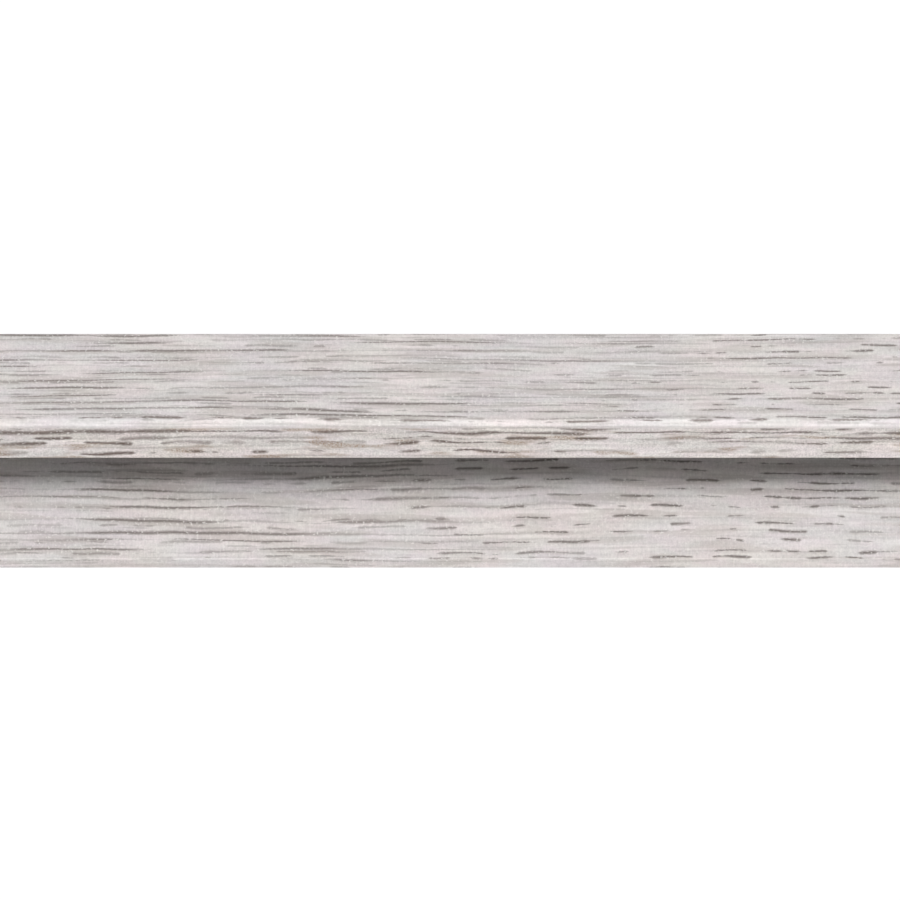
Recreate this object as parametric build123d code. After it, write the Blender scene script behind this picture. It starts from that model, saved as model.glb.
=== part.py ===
from build123d import *
import os

# End trim for slatted acoustic wall panels: one straight length of wrapped moulding, in millimetres.
#
# The trim lies on its wall face with its front face up. X runs along its length, Y runs across it and
# Z points away from the wall. The origin is the middle of the wall face.
#
# Seen along its length, the section is one solid piece made of four stretches:
#   web     the block on the +Y side, which closes the side of the panel and shows its outer side
#   nose    the front part, as wide and as thick as one slat of the panel, which overhangs the felt slot
#   slot    the undercut below the nose, open to -Y, which takes the edge of the panel's felt backing
#   flange  the thin leaf on the wall, which runs out past the nose

# The panel that the trim finishes
slat_width = 27.0
slat_thickness = 12.0
felt_thickness = 9.0

# The trim itself
length = 2400.0
felt_clearance = 0.5
web_thickness = 13.0
flange_thickness = 3.0
flange_reach = 22.0

# Corner radii: the wrapping film bends round the front corners and is cut square at the slot
nose_radius = 1.5
side_radius = 0.5
flange_tip_radius = 0.2
slot_root_radius = 0.8

# Heights above the wall
slot_floor = flange_thickness
slot_roof = slot_floor + felt_thickness + felt_clearance
front_face = slot_roof + slat_thickness

# Places across the width
overall_width = slat_width + flange_reach
outer_side = overall_width / 2
nose_edge = outer_side - slat_width
slot_root = outer_side - web_thickness
flange_tip = -overall_width / 2


def section_corners():
    """The corners of the section in the YZ plane, in order round it, each with its radius."""
    return [
        ((outer_side, 0), 0),
        ((outer_side, front_face), side_radius),
        ((nose_edge, front_face), nose_radius),
        ((nose_edge, slot_roof), 0),
        ((slot_root, slot_roof), slot_root_radius),
        ((slot_root, slot_floor), slot_root_radius),
        ((flange_tip, slot_floor), flange_tip_radius),
        ((flange_tip, 0), 0),
    ]


def make_end_trim():
    """The section run along the whole length, half to each side of the origin."""
    points = [point for point, _ in section_corners()]
    radii = [radius for _, radius in section_corners()]
    with BuildPart() as trim:
        with BuildSketch(Plane.YZ):
            with BuildLine():
                FilletPolyline(*points, radius=radii, close=True)
            make_face()
        extrude(amount=length / 2, both=True)
    return trim.part


os.makedirs("parts", exist_ok=True)
export_step(make_end_trim(), "parts/end_trim.step")
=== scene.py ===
import math
from collections import namedtuple

import bpy
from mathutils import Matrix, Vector


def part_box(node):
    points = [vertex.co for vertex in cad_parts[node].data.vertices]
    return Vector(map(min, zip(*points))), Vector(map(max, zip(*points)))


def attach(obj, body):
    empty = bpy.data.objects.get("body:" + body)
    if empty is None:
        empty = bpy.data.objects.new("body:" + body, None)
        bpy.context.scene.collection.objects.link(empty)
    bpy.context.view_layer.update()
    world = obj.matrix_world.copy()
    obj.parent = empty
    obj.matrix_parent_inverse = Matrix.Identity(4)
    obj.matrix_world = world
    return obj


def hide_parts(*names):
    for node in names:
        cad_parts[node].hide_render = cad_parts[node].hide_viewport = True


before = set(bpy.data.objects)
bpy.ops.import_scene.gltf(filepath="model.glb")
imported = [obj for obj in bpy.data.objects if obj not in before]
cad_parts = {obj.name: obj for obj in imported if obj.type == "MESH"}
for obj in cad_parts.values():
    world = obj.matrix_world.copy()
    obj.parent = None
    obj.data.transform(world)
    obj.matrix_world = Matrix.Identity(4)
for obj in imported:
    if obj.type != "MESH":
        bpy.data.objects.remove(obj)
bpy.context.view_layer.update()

# An end trim for slatted acoustic wall panels, wrapped in a light grey limed oak film.
# X runs along the trim, Y across it and Z out of its wall face.
# Lengths are in metres, apart from those in the materials' patterns, which are in millimetres.

trim_low, trim_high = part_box("end_trim")

# The section's sizes that its box doesn't give
slat_width = 0.027
slat_thickness = 0.012
web_thickness = 0.013
flange_thickness = 0.003
nose_radius = 0.0015
side_radius = 0.0005
flange_tip_radius = 0.0002
slot_root_radius = 0.0008
film_lap = 0.007
film_thickness = 0.00025

# Places in the section
outer_side = trim_high.y
flange_tip = trim_low.y
nose_edge = outer_side - slat_width
slot_root = outer_side - web_thickness
wall_face = trim_low.z
front_face = trim_high.z
slot_roof = front_face - slat_thickness
slot_floor = wall_face + flange_thickness

# How much of the film's print goes into each millimetre round the section. The flange's print is stretched,
# and the bare back shows none, so it takes up little.
flange_print = 0.7
back_print = 0.3
plain_print = 1.0

# A shorter step along the outline is a square corner or a join of two surfaces, and no strip
shortest_strip = 1e-7

# A metre in the millimetres of the materials' patterns
metre = 1000.0

# The trim's materials, by their numbers in its mesh
FILM, BACKING, BOARD, SAWN = range(4)


class Stretch:
    """A straight stretch of the outline: its surface, and the corner that it starts at."""

    def __init__(self, y, z, radius=0.0, surface=FILM, print_rate=plain_print, arc_steps=1):
        self.start = Vector((y, z))
        self.radius = radius
        self.surface = surface
        self.print_rate = print_rate
        self.arc_steps = arc_steps


def section():
    """The outline in the YZ plane, round the solid with the solid on the left hand."""
    return [
        Stretch(outer_side, wall_face),
        Stretch(outer_side, front_face, side_radius, arc_steps=8),
        Stretch(nose_edge, front_face, nose_radius, arc_steps=16),
        Stretch(nose_edge, slot_roof, surface=BACKING),
        Stretch(slot_root, slot_roof, slot_root_radius, surface=BACKING, arc_steps=6),
        Stretch(slot_root, slot_floor, slot_root_radius, print_rate=flange_print, arc_steps=6),
        Stretch(flange_tip, slot_floor, flange_tip_radius, print_rate=flange_print, arc_steps=4),
        Stretch(flange_tip, wall_face),
        Stretch(flange_tip + film_lap, wall_face, surface=BOARD, print_rate=back_print),
        Stretch(outer_side - film_lap, wall_face),
    ]


def right_of(direction):
    """The outward normal of a stretch that runs in this direction."""
    return Vector((direction.y, -direction.x))


def corner_stations(before, here, after):
    """Points and outward normals at a corner: two at a square one, and an arc at a rounded one."""
    way_in = (here.start - before.start).normalized()
    way_out = (after.start - here.start).normalized()
    if here.radius == 0:
        return [(here.start, right_of(way_in)), (here.start, right_of(way_out))]
    side = 1 if way_in.cross(way_out) > 0 else -1
    centre = here.start + here.radius * (way_out - way_in)
    stations = []
    for step in range(here.arc_steps + 1):
        turn = math.pi / 2 * step / here.arc_steps
        normal = right_of(way_in) * math.cos(turn) + right_of(way_out) * math.sin(turn)
        stations.append((centre + side * here.radius * normal, normal))
    return stations


Strip = namedtuple("Strip", "start normal end_normal surface place end_place")


def outline_strips():
    """The outline as narrow strips. Their places are where they start and end in the film's print."""
    outline = section()
    walk = []
    for index, here in enumerate(outline):
        before, after = outline[index - 1], outline[(index + 1) % len(outline)]
        walk += [(point, normal, here) for point, normal in corner_stations(before, here, after)]
    strips = []
    place = 0.0
    for index, (point, normal, stretch) in enumerate(walk):
        end, end_normal, _ = walk[(index + 1) % len(walk)]
        width = (end - point).length
        if width < shortest_strip:
            continue
        end_place = place + width * stretch.print_rate
        strips.append(Strip(point, normal, end_normal, stretch.surface, place, end_place))
        place = end_place
    return strips


def nose_in_print():
    """Where the print passes the nose, in millimetres: the start and end of the bend, and the sharp edge."""
    nose = []
    for strip in outline_strips():
        if strip.start.x < nose_edge + nose_radius and strip.start.y > slot_roof:
            nose.append(strip)
    front = [strip for strip in nose if strip.start.x <= nose_edge]
    return metre * nose[0].place, metre * front[0].place, metre * nose[-1].end_place


# The surface is also laid out in a square, in its OFBake map: the trim's length as two rows of six cells,
# and its end faces above them. Sizes are shares of the square's side.
cells_across = 6
cell_rows = 2
row_share = 0.46
row_pitch = 0.47
side_gap = 0.003
cap_band = 0.95
cap_start = 0.02
cap_pitch = 0.5
cap_height = 0.045
cap_width = 0.2


def cell_place(cell, along, place, whole):
    """Where a point of a cell lies in the square: along is 0 to 1, and place is out of the whole print."""
    column, row = cell % cells_across, cell // cells_across
    sideways = side_gap + (1 - 2 * side_gap) * (column + along) / cells_across
    return (sideways, row * row_pitch + row_share * place / whole)


def cap_place(point, side):
    """Where a point of an end face lies in the square."""
    across = (point.y - flange_tip) / (outer_side - flange_tip)
    up = (point.z - wall_face) / (front_face - wall_face)
    return (cap_start + cap_pitch * side + cap_width * across, cap_band + cap_height * up)


def ring_inset(strips):
    """The outline moved in by the film's thickness, for the line that the film shows on a sawn end."""
    inset = []
    for index, strip in enumerate(strips):
        before = strips[index - 1].end_normal
        inset.append(strip.start - film_thickness * (before + strip.normal) / (1 + before.dot(strip.normal)))
    return inset


class Faces:
    """Gathers faces with their material, normals and both maps, and makes the mesh."""

    def __init__(self):
        self.points, self.faces, self.surfaces = [], [], []
        self.normals, self.film_places, self.bake_places = [], [], []

    def ring(self, x, outline):
        """Adds a ring of points at x and gives their numbers."""
        first = len(self.points)
        self.points += [Vector((x, point.x, point.y)) for point in outline]
        return list(range(first, len(self.points)))

    def face(self, corners, surface, normals, film_places, bake_places):
        self.faces.append(corners)
        self.surfaces.append(surface)
        self.normals += normals
        self.film_places += film_places
        self.bake_places += bake_places

    def cap_face(self, corners, surface, side):
        """A face of an end: side 0 is the low end and side 1 the high one."""
        ordered = corners if side else corners[::-1]
        bake_places = [cap_place(self.points[corner], side) for corner in ordered]
        film_places = [(self.points[corner].y, self.points[corner].z) for corner in ordered]
        self.face(ordered, surface, [(2 * side - 1, 0, 0)] * len(ordered), film_places, bake_places)

    def mesh(self, name, materials):
        made = bpy.data.meshes.new(name)
        made.from_pydata(self.points, [], self.faces)
        for material in materials:
            made.materials.append(material)
        made.polygons.foreach_set("material_index", self.surfaces)
        made.polygons.foreach_set("use_smooth", [True] * len(self.faces))
        for map_name, places in (("film", self.film_places), ("OFBake", self.bake_places)):
            layer = made.uv_layers.new(name=map_name)
            layer.data.foreach_set("uv", [number for place in places for number in place])
        made.normals_split_custom_set(self.normals)
        made.validate(clean_customdata=False)
        return made


def make_trim(materials):
    """The whole length of the section in cells, closed by its two sawn ends."""
    strips = outline_strips()
    whole = strips[-1].end_place
    outline = [strip.start for strip in strips]
    cells = cells_across * cell_rows
    cell_length = (trim_high.x - trim_low.x) / cells
    faces = Faces()
    rings = [faces.ring(trim_low.x + cell * cell_length, outline) for cell in range(cells + 1)]
    for cell in range(cells):
        low_ring, high_ring = rings[cell], rings[cell + 1]
        ends_x = (faces.points[low_ring[0]].x, faces.points[high_ring[0]].x)
        for index, strip in enumerate(strips):
            after = (index + 1) % len(strips)
            corners = [low_ring[index], low_ring[after], high_ring[after], high_ring[index]]
            marks = [(0, strip.place), (0, strip.end_place), (1, strip.end_place), (1, strip.place)]
            film_places = [(ends_x[along], place) for along, place in marks]
            bake_places = [cell_place(cell, along, place, whole) for along, place in marks]
            normal, end_normal = (0, *strip.normal), (0, *strip.end_normal)
            normals = [normal, end_normal, end_normal, normal]
            faces.face(corners, strip.surface, normals, film_places, bake_places)
    for side, x, rim in ((0, trim_low.x, rings[0]), (1, trim_high.x, rings[-1])):
        core = faces.ring(x, ring_inset(strips))
        for index, strip in enumerate(strips):
            after = (index + 1) % len(strips)
            surface = FILM if strip.surface == FILM else SAWN
            faces.cap_face([rim[index], rim[after], core[after], core[index]], surface, side)
        faces.cap_face(core, SAWN, side)
    trim = bpy.data.objects.new("end_trim_wrapped", faces.mesh("end_trim_wrapped", materials))
    bpy.context.scene.collection.objects.link(trim)
    return trim


# A Mix node's colour sockets share their names with others, so they are called by number
MIX_FIRST, MIX_SECOND, MIX_RESULT = 6, 7, 2

# Most of a noise lies between these two
noise_low = 0.3
noise_high = 0.7


class Graph:
    """Builds the nodes of a material or a world. Lengths in its patterns are in millimetres."""

    def __init__(self, owner):
        owner.use_nodes = True
        self.owner = owner
        self.tree = owner.node_tree
        self.tree.nodes.clear()

    def feed(self, socket, value):
        """Links a socket to another, or sets it to a number or a colour."""
        if isinstance(value, bpy.types.NodeSocket):
            self.tree.links.new(value, socket)
        else:
            socket.default_value = value

    def node(self, kind, inputs=None, **settings):
        made = self.tree.nodes.new("ShaderNode" + kind)
        for name, value in settings.items():
            setattr(made, name, value)
        for name, value in (inputs or {}).items():
            self.feed(made.inputs[name], value)
        return made

    def math(self, operation, *values):
        made = self.node("Math", operation=operation)
        for socket, value in zip(made.inputs, values):
            self.feed(socket, value)
        return made.outputs[0]

    def chain(self, operation, first, others):
        """The operation on the first two values, then on its result and the third, and so on."""
        for other in others:
            first = self.math(operation, first, other)
        return first

    def add(self, first, *others):
        return self.chain("ADD", first, others)

    def times(self, first, *others):
        return self.chain("MULTIPLY", first, others)

    def most(self, first, *others):
        return self.chain("MAXIMUM", first, others)

    def minus(self, first, second):
        return self.math("SUBTRACT", first, second)

    def ramp(self, value, low, high, start=0.0, end=1.0):
        """A smooth step from start to end as value goes from low to high."""
        made = self.node("MapRange", {"Value": value}, interpolation_type="SMOOTHSTEP")
        for name, limit in (("From Min", low), ("From Max", high), ("To Min", start), ("To Max", end)):
            self.feed(made.inputs[name], limit)
        return made.outputs["Result"]

    def between(self, share, start, end):
        """A smooth step from start to end as share goes from 0 to 1."""
        return self.ramp(share, 0, 1, start, end)

    def spread(self, noise, start=0.0, end=1.0):
        """A noise spread over start to end."""
        return self.ramp(noise, noise_low, noise_high, start, end)

    def swing(self, noise, amount):
        """A noise turned into a shift of up to about amount either way."""
        return self.times(self.minus(noise, 0.5), 2 * amount)

    def noise(self, u, v, long, wide, detail=1.0, roughness=0.5, shift=0.0):
        """Noise round a mean of 0.5, with features about long by wide. A shift makes it another one."""
        moved = self.add(u, shift) if shift else u
        x, y = self.math("DIVIDE", moved, long), self.math("DIVIDE", v, wide)
        place = self.node("CombineXYZ", {"X": x, "Y": y})
        inputs = {"Vector": place.outputs[0], "Scale": 1.0, "Detail": detail, "Roughness": roughness}
        return self.node("TexNoise", inputs, noise_dimensions="2D").outputs["Fac"]

    def chance(self, value):
        """A number from 0 to 1 that jumps about as value changes."""
        return self.node("TexWhiteNoise", {"W": value}, noise_dimensions="1D").outputs["Value"]

    def blend(self, factor, first, second, blend_type="MIX"):
        made = self.node("Mix", data_type="RGBA", blend_type=blend_type)
        self.feed(made.inputs["Factor"], factor)
        self.feed(made.inputs[MIX_FIRST], first)
        self.feed(made.inputs[MIX_SECOND], second)
        return made.outputs[MIX_RESULT]

    def tinted(self, colour, tint):
        return self.blend(1.0, colour, tint, "MULTIPLY")

    def shaded(self, colour, tone):
        """A colour made lighter or darker. A tone of 1 leaves it as it is."""
        grey = self.node("CombineColor", {"Red": tone, "Green": tone, "Blue": tone})
        return self.tinted(colour, grey.outputs[0])

    def film_place(self):
        """Where the surface lies in the film's print: along the trim, and round its section."""
        place = self.node("SeparateXYZ", {"Vector": self.node("UVMap", uv_map="film").outputs["UV"]})
        return self.times(place.outputs["X"], metre), self.times(place.outputs["Y"], metre)

    def surface(self, colour, roughness, height, bump, specular=0.5):
        """Ends a material in its shader. height is in metres, and bump is how strongly it shows."""
        relief = self.node("Bump", {"Height": height, "Strength": bump, "Distance": 1.0})
        shader = self.node("BsdfPrincipled", {"Base Color": colour, "Normal": relief.outputs[0]})
        self.feed(shader.inputs["Specular IOR Level"], specular)
        self.feed(shader.inputs["Roughness"], roughness)
        self.node("OutputMaterial", {"Surface": shader.outputs[0]})
        return self.owner

    def seen(self):
        """1 to the camera, in reflections and through clear things, and 0 to other light."""
        rays = self.node("LightPath").outputs
        return self.most(rays["Is Camera Ray"], rays["Is Glossy Ray"], rays["Is Transmission Ray"])

    def either(self, factor, first, second):
        """The first shader where factor is 0, and the second where it is 1."""
        made = self.node("MixShader", {"Fac": factor})
        self.feed(made.inputs[1], first.outputs[0])
        self.feed(made.inputs[2], second.outputs[0])
        return made.outputs[0]


# The colours of the film as light values
pale_oak = (0.676, 0.633, 0.624, 1)
oak_smudge = (0.44, 0.39, 0.36, 1)
oak_line = (0.14, 0.116, 0.104, 1)
oak_stroke = (0.105, 0.073, 0.058, 1)
oak_stain = (0.36, 0.27, 0.205, 1)
oak_speck = (0.84, 0.81, 0.78, 1)

# Tints that multiply the film's pale colour: on the nose, in clouds and in smaller patches
nose_tint = (0.992, 0.995, 0.977, 1)
cool_cloud = (0.981, 0.989, 1.0, 1)
warm_cloud = (1.016, 1.0, 0.981, 1)
pink_patch = (1.016, 0.989, 1.008, 1)
green_patch = (0.986, 1.008, 0.991, 1)

# The grain goes from long to short and back over print_swell millimetres, and is half way at swell_start
print_swell = 400.0
swell_start = 35.0

# On the bend a highlight is painted into the film, as a paler ground with fewer strokes, smudges and haze.
# It sets in between these two distances past the bend's start, in millimetres
painted_highlight_from = 0.2
painted_highlight_to = 0.8

# The millimetres over which the bend's painted highlight fades into the nose's look, and the nose's look
# into what follows it
bend_fade = 0.7
edge_fade = 1

# The film's kinds of stroke. Rows lie spacing apart, and a stroke is about reach long and thickness thick.
# It shows where a noise along the row passes from low to high, so a lower pair gives more strokes.
long_line = dict(spacing=2.2, reach=38, thickness=0.58, low=0.41, high=0.55, seed=11.0)
fine_line = dict(spacing=1.45, reach=17, thickness=0.42, low=0.48, high=0.6, seed=37.0)
short_dash = dict(spacing=1.8, reach=9, thickness=0.52, low=0.475, high=0.58, seed=71.0)
bold_stroke = dict(spacing=2.7, reach=13, thickness=1.1, low=0.435, high=0.525, seed=93.0)
nose_stroke = dict(spacing=20, reach=20, thickness=1.2, low=0.35, high=0.5, seed=51.0, wander=0.0)
bend_stroke = dict(spacing=20, reach=12, thickness=0.7, low=0.46, high=0.58, seed=19.0, wander=0.0)

# One row of strokes lies on the nose this far past the bend, and one on the bend this far past its start.
# The bend's row shows within bend_row_reach of the bend's start and then fades.
nose_row_offset = 1.6
bend_row_offset = 0.2
bend_row_reach = 2.0
bend_row_fade = 0.5

# Each row reads its own lane of a noise, lane_pitch from the next row's. The noises that move and widen its
# strokes are read beside it.
lane_pitch = 7.31
drift_lane = 3.7
girth_lane = 9.1

# A stroke's thickness lies between these shares of its kind's, and half the finest one's is finest_half. A
# smudge reaches smudge_reach thicknesses out. A row drifts by drift_share of its wander. A stroke hides
# stroke_cover of the film's colour.
thinnest = 0.5
thickest = 1.3
finest_half = 0.02
smudge_reach = 2.0
drift_share = 0.3
stroke_cover = 0.95

# How crowded the strokes are, from the barest places to the fullest
barest = 0.4
fullest = 1.1


class OakFilm(Graph):
    """The limed oak film: fine lines and short dashes along the trim, with bolder brown ones on the nose,
    and a highlight painted on the bend as a paler, cleaner band.

    u runs along the trim and flat_v round its section. v is flat_v swaying as the grain does.
    """

    def __init__(self, bend_start, bend_end, nose_end):
        """Sets out the print. The three places are those that nose_in_print gives."""
        super().__init__(bpy.data.materials.new("grey_oak_film"))
        self.bend_start, self.bend_end = bend_start, bend_end
        self.u, self.flat_v = self.film_place()
        long_sway = self.noise(self.u, self.flat_v, long=80, wide=14, detail=0.0)
        short_sway = self.noise(self.u, self.flat_v, long=13, wide=6)
        sway = self.add(self.swing(long_sway, 0.8), self.swing(short_sway, 0.32))
        self.v = self.add(self.flat_v, sway)

        # The bend's mask, which carries the painted highlight
        on_bend = self.ramp(self.flat_v, bend_start + painted_highlight_from, bend_start + painted_highlight_to)
        self.bend = self.times(on_bend, self.ramp(self.flat_v, bend_end, bend_end + bend_fade, 1, 0))
        on_nose = self.ramp(self.flat_v, bend_end, bend_end + bend_fade)
        self.nose = self.times(on_nose, self.ramp(self.flat_v, nose_end, nose_end + edge_fade, 1, 0))

        turn = self.times(self.minus(self.u, swell_start), 2 * math.pi / print_swell)
        past_nose = self.ramp(self.flat_v, nose_end, nose_end + edge_fade, 0, 0.7)
        self.short_grain = self.ramp(self.add(self.math("SINE", turn), past_nose), -0.6, 0.8)

        self.fray = self.noise(self.u, self.v, long=0.9, wide=0.3)
        self.fibre = self.noise(self.u, self.v, long=4, wide=0.5)
        self.grit = self.noise(self.u, self.flat_v, long=0.4, wide=0.4, detail=0.0)
        self.ragged = self.swing(self.fray, 0.32)

    def strokes(self, v, spacing, reach, thickness, low, high, seed, wander=0.6):
        """Dark strokes along the grain in rows that wander, and the grey smudge round them."""
        rows = self.math("DIVIDE", v, spacing)
        row = self.math("FLOOR", rows)
        lane = self.add(self.times(row, lane_pitch), seed)
        jump = self.times(self.minus(self.chance(self.add(row, seed)), 0.5), wander)
        drift = self.noise(self.u, self.add(lane, drift_lane), reach, 1.0, detail=0.0)
        middle = self.add(jump, self.swing(drift, drift_share * wander))
        girth = self.noise(self.u, self.add(lane, girth_lane), reach, 1.0, detail=0.0)
        girth = self.spread(girth, thinnest, thickest)
        part = self.minus(self.math("FRACT", rows), 0.5)
        across = self.math("ABSOLUTE", self.minus(part, middle))
        distance = self.add(self.times(across, spacing), self.times(self.ragged, thickness))
        strength = self.ramp(self.noise(self.u, lane, reach, 1.0, detail=2.0), low, high)
        half = self.add(self.times(strength, girth, 0.5 * thickness), finest_half)
        line = self.ramp(self.math("DIVIDE", distance, half), 0.0, 1.5, 1.0, 0.0)
        smudge = self.ramp(distance, 0.0, smudge_reach * thickness, 1.0, 0.0)
        # A smudge fades out before the border of its row, which is 0.5 from the row's middle
        inside = self.ramp(self.math("ABSOLUTE", part), 0.3, 0.5, 1.0, 0.0)
        return self.times(line, self.math("SQRT", strength)), self.times(smudge, inside, strength)

    def one_row(self, v, place, kind):
        """The strokes of the row whose middle lies at this place round the section."""
        return self.strokes(self.minus(v, place - 0.5 * kind["spacing"]), **kind)[0]

    def grain(self):
        """How strongly the fine strokes, the bold ones and the smudges show, from 0 to about 1. They are
        thinned on the bend, where a highlight is painted.
        """
        long_lines, long_smudges = self.strokes(self.v, **long_line)
        fine_lines, _ = self.strokes(self.v, **fine_line)
        dashes, dash_smudges = self.strokes(self.v, **short_dash)
        nose_sway = self.noise(self.u, self.flat_v, long=9, wide=4, detail=0.0)
        nose_v = self.add(self.v, self.swing(nose_sway, 0.6))
        bold, bold_smudges = self.strokes(nose_v, **bold_stroke)
        nose_row = self.one_row(nose_v, self.bend_end + nose_row_offset, nose_stroke)
        bend_row = self.one_row(self.v, self.bend_start + bend_row_offset, bend_stroke)

        long_weight = self.between(self.short_grain, 0.95, 0.2)
        fine_weight = self.between(self.short_grain, 0.34, 0.2)
        dash_weight = self.between(self.short_grain, 0.55, 1.0)
        crowds = self.noise(self.u, self.flat_v, long=30, wide=9)
        bold_crowds = self.ramp(crowds, 0.34, 0.54, barest, fullest)
        fine_crowds = self.ramp(bold_crowds, barest, fullest, 0.6, 1.05)

        long_lines = self.times(long_lines, long_weight)
        fine_lines = self.times(fine_lines, fine_weight)
        lines = self.most(long_lines, fine_lines, self.times(dashes, dash_weight))
        # Fewer fine strokes on the bend, for its painted highlight, and on the nose, where the bold ones are
        by_place = self.add(self.times(self.bend, -0.7), self.between(self.nose, 1, 0.27))
        lines = self.times(lines, fine_crowds, by_place)

        bold = self.times(self.most(self.times(bold, bold_crowds), nose_row), self.nose)
        from_bend = self.math("ABSOLUTE", self.minus(self.flat_v, self.bend_start))
        by_bend = self.ramp(from_bend, bend_row_reach, bend_row_reach + bend_row_fade, 1.0, 0.0)
        bold = self.most(bold, self.times(bend_row, by_bend))

        long_smudges = self.times(long_smudges, long_weight)
        dash_smudges = self.times(dash_smudges, dash_weight)
        smudges = self.most(long_smudges, dash_smudges, self.times(bold_smudges, self.nose))
        # Fewer smudges on the bend, for its painted highlight
        smudges = self.times(smudges, fine_crowds, self.between(self.bend, 1, 0.4))
        return lines, bold, smudges

    def ground(self, smudges):
        """The pale colour under the marks, with its clouds, streaks and spots, and a highlight painted paler
        on the bend.
        """
        clouds = self.noise(self.u, self.flat_v, long=26, wide=9)
        patches = self.noise(self.u, self.flat_v, long=9, wide=4, detail=2.0, shift=519.0)
        colour = self.tinted(pale_oak, self.blend(self.spread(clouds), cool_cloud, warm_cloud))
        colour = self.tinted(colour, self.blend(self.spread(patches), pink_patch, green_patch))
        colour = self.blend(self.nose, colour, self.tinted(colour, nose_tint))

        streaks = self.swing(self.noise(self.u, self.v, long=24, wide=2.0), 0.21)
        by_grain = self.between(self.short_grain, -0.02, 0.025)
        tone = self.add(streaks, self.swing(self.fibre, 0.045), by_grain)
        # The ground is painted 3% paler on the bend as highlight, and is 9% paler on the nose
        by_place = self.add(self.times(self.bend, 0.03), self.times(self.nose, 0.09))
        blotches = self.noise(self.u, self.flat_v, long=1.1, wide=1.0, detail=0.0)
        grit = self.times(self.swing(self.grit, 0.08), self.between(self.nose, 1, 1.8))
        spots = self.add(self.swing(blotches, 0.075), grit)
        spots = self.times(spots, self.between(self.nose, 1, 1.5))
        ticks = self.noise(self.u, self.flat_v, long=0.35, wide=1.8, detail=0.0)
        ticks = self.times(self.swing(ticks, 1.0), self.add(self.times(smudges, 0.12), 0.05))
        return self.shaded(colour, self.add(tone, by_place, spots, self.add(ticks, 1.0)))

    def marked(self, colour, lines, bold, smudges):
        """The colour with its haze and smudges, brown stains, strokes and light specks. The haze is kept off
        the bend's painted highlight.
        """
        haze = self.ramp(self.noise(self.u, self.v, long=22, wide=1.8, shift=233.0), 0.5, 0.66)
        # Almost no haze on the bend, for its painted highlight
        haze = self.times(haze, self.between(self.bend, 0.36, 0.05), self.between(self.nose, 1, 0.45))
        colour = self.blend(self.add(self.times(smudges, 0.27), haze), colour, oak_smudge)

        stain = self.noise(self.u, self.v, long=15, wide=3, detail=2.0, shift=351.0)
        stain = self.times(self.ramp(stain, 0.54, 0.7), self.nose, self.spread(self.grit, 0.3, 1.0))
        colour = self.blend(stain, colour, oak_stain)

        broken = self.ramp(self.fray, 0.3, 0.5, 0.75, 1.0)
        colour = self.blend(self.times(lines, broken, stroke_cover), colour, oak_line)
        colour = self.blend(self.times(bold, broken, stroke_cover), colour, oak_stroke)

        specks = self.ramp(self.noise(self.u, self.v, long=0.75, wide=0.55, shift=77.0), 0.6, 0.76)
        swarms = self.noise(self.u, self.flat_v, long=11, wide=5, shift=143.0)
        specks = self.times(specks, self.ramp(swarms, 0.4, 0.6, 0.5, 1.1))
        return self.blend(self.times(specks, self.ramp(smudges, 0.0, 0.6, 0.42, 0.58)), colour, oak_speck)

    def finished(self):
        """The whole material."""
        lines, bold, smudges = self.grain()
        colour = self.marked(self.ground(smudges), lines, bold, smudges)
        roughness = self.spread(self.fibre, 0.42, 0.5)
        relief = self.noise(self.u, self.flat_v, long=6, wide=0.3, roughness=0.6)
        return self.surface(colour, roughness, self.swing(relief, 0.02 / metre), bump=0.5, specular=0.58)


# The colours of the slot's backing and of bare board
backing_grey = (0.30, 0.298, 0.29, 1)
board_brown = (0.43, 0.29, 0.17, 1)


def backing_material():
    """The plain grey backing in the slot, faintly fibrous."""
    g = Graph(bpy.data.materials.new("slot_backing"))
    u, v = g.film_place()
    fibre = g.noise(u, v, long=3, wide=0.5, detail=3.0, roughness=0.65)
    patches = g.noise(u, v, long=16, wide=5)
    tone = g.add(g.swing(fibre, 0.22), g.swing(patches, 0.1), 1.0)
    height = g.swing(fibre, 0.04 / metre)
    return g.surface(g.shaded(backing_grey, tone), g.spread(fibre, 0.55, 0.7), height, bump=0.5)


def board_material(name, on_end):
    """Bare fibreboard, on an end or on the back: felted brown fibre with fine slanting marks."""
    g = Graph(bpy.data.materials.new(name))
    place = g.node("SeparateXYZ", {"Vector": g.node("TexCoord").outputs["Object"]})
    x, y, z = (g.times(place.outputs[axis], metre) for axis in "XYZ")
    u, v = (y, z) if on_end else (x, y)
    felt = g.noise(u, v, long=0.9, wide=0.5, detail=4.0, roughness=0.65)
    patches = g.noise(u, v, long=12, wide=6, detail=2.0)
    slant = 0.35
    marks = g.noise(g.add(u, g.times(v, slant)), v, long=0.35, wide=40)
    tone = g.add(g.swing(felt, 0.35), g.swing(patches, 0.12), g.add(g.swing(marks, 0.15), 1.0))
    height = g.times(g.add(g.swing(felt, 0.05), g.swing(marks, 0.03)), 1 / metre)
    return g.surface(g.shaded(board_brown, tone), g.spread(felt, 0.75, 0.9), height, bump=0.7)


# The floor gives back light as floor_grey. Where it is seen it is seen_grey with a glow, which together are
# white in the open and darker in the trim's shadow.
floor_grey = (0.45, 0.45, 0.45, 1)
seen_grey = (0.35, 0.35, 0.35, 1)
seen_glow = 0.74
white = (1, 1, 1, 1)


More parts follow.
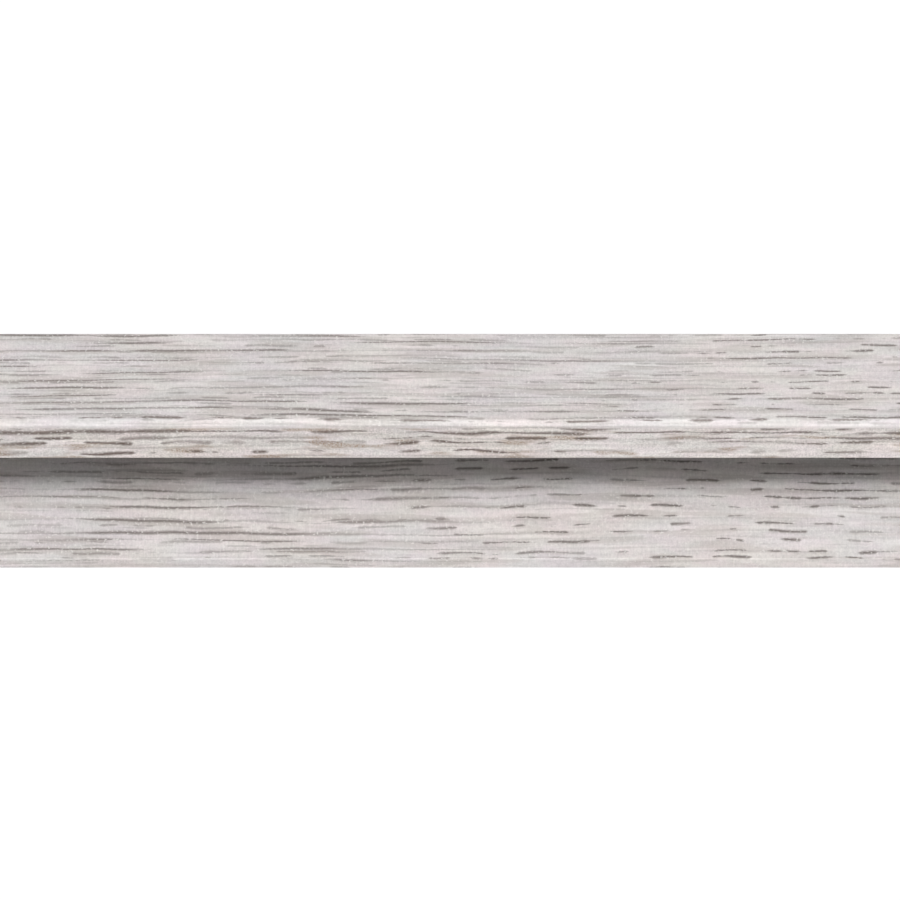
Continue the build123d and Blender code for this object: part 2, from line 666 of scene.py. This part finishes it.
def floor_material():
    """A pale floor: white to the camera and to reflections, apart from the shadow on it."""
    g = Graph(bpy.data.materials.new("pale_floor"))
    seen = g.seen()
    plain = g.node("BsdfDiffuse", {"Color": floor_grey})
    soft = g.node("BsdfDiffuse", {"Color": seen_grey})
    glow = g.node("Emission", {"Color": white, "Strength": g.times(seen, seen_glow)})
    lit = g.node("AddShader")
    g.feed(lit.inputs[0], soft.outputs[0])
    g.feed(lit.inputs[1], glow.outputs[0])
    g.node("OutputMaterial", {"Surface": g.either(seen, plain, lit)})
    return g.owner


def make_floor():
    """A wide level floor just under the wall face."""
    half, drop = 60.0, 0.00005
    mesh = bpy.data.meshes.new("floor")
    corners = [(-half, -half), (half, -half), (half, half), (-half, half)]
    mesh.from_pydata([(x, y, wall_face - drop) for x, y in corners], [], [(0, 1, 2, 3)])
    mesh.materials.append(floor_material())
    floor = bpy.data.objects.new("floor", mesh)
    bpy.context.scene.collection.objects.link(floor)


# The light: two soft lamps straight overhead, one wider than the other, a low one in front, and a dim
# surround
overhead_height = math.radians(90)
overhead_level = 0.49
overhead_spread = math.radians(36)
sky_level = 0.27
sky_spread = math.radians(80)
front_height = math.radians(7)
front_level = 0.66
front_spread = math.radians(22)
surround_level = 0.108
surround_colour = (0.9, 0.98, 1.03, 1)
lamp_distance = 3


def make_world():
    """A dim and slightly cool surround, which the camera and reflections see as white."""
    g = Graph(bpy.data.worlds.new("studio"))
    dim = g.node("Background", {"Color": surround_colour, "Strength": surround_level})
    bright = g.node("Background", {"Color": white, "Strength": 1.0})
    g.node("OutputWorld", {"Surface": g.either(g.seen(), dim, bright)})
    bpy.context.scene.world = g.owner


def make_light(name, level, spread, height):
    """A lamp at this angle above the floor in front, or overhead. A level of 1 lights white to 1."""
    lamp = bpy.data.lights.new(name, "SUN")
    lamp.energy = level * math.pi
    lamp.angle = spread
    light = bpy.data.objects.new(name, lamp)
    way = Vector((0, math.cos(height), -math.sin(height)))
    light.rotation_euler = way.to_track_quat("-Z", "Y").to_euler()
    light.location = -way * lamp_distance
    bpy.context.scene.collection.objects.link(light)


# The camera: level along the trim, looking down on it from the flange's side
camera_height = math.radians(49.5)
camera_lens = 600.0
sensor_width = 36.0
view_width = 0.204


def make_camera():
    """A long lens whose picture is view_width wide at the middle of the trim's box."""
    lens = bpy.data.cameras.new("camera")
    lens.lens = camera_lens
    lens.sensor_width = sensor_width
    lens.sensor_fit = "HORIZONTAL"
    lens.clip_start, lens.clip_end = 0.05, 100
    camera = bpy.data.objects.new("camera", lens)
    way = Vector((0, math.cos(camera_height), -math.sin(camera_height)))
    middle = (trim_low + trim_high) / 2
    camera.location = middle - way * (view_width * camera_lens / sensor_width)
    camera.rotation_euler = way.to_track_quat("-Z", "Y").to_euler()
    bpy.context.scene.collection.objects.link(camera)
    bpy.context.scene.camera = camera


make_camera()
make_world()
make_light("overhead", overhead_level, overhead_spread, overhead_height)
make_light("sky", sky_level, sky_spread, overhead_height)
make_light("front", front_level, front_spread, front_height)
make_floor()

film, backing = OakFilm(*nose_in_print()).finished(), backing_material()
raw_board, sawn_end = board_material("raw_board", on_end=False), board_material("sawn_end", on_end=True)
trim = make_trim([film, backing, raw_board, sawn_end])
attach(trim, "root")
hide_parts("end_trim")

bpy.context.scene.view_settings.view_transform = "Standard"
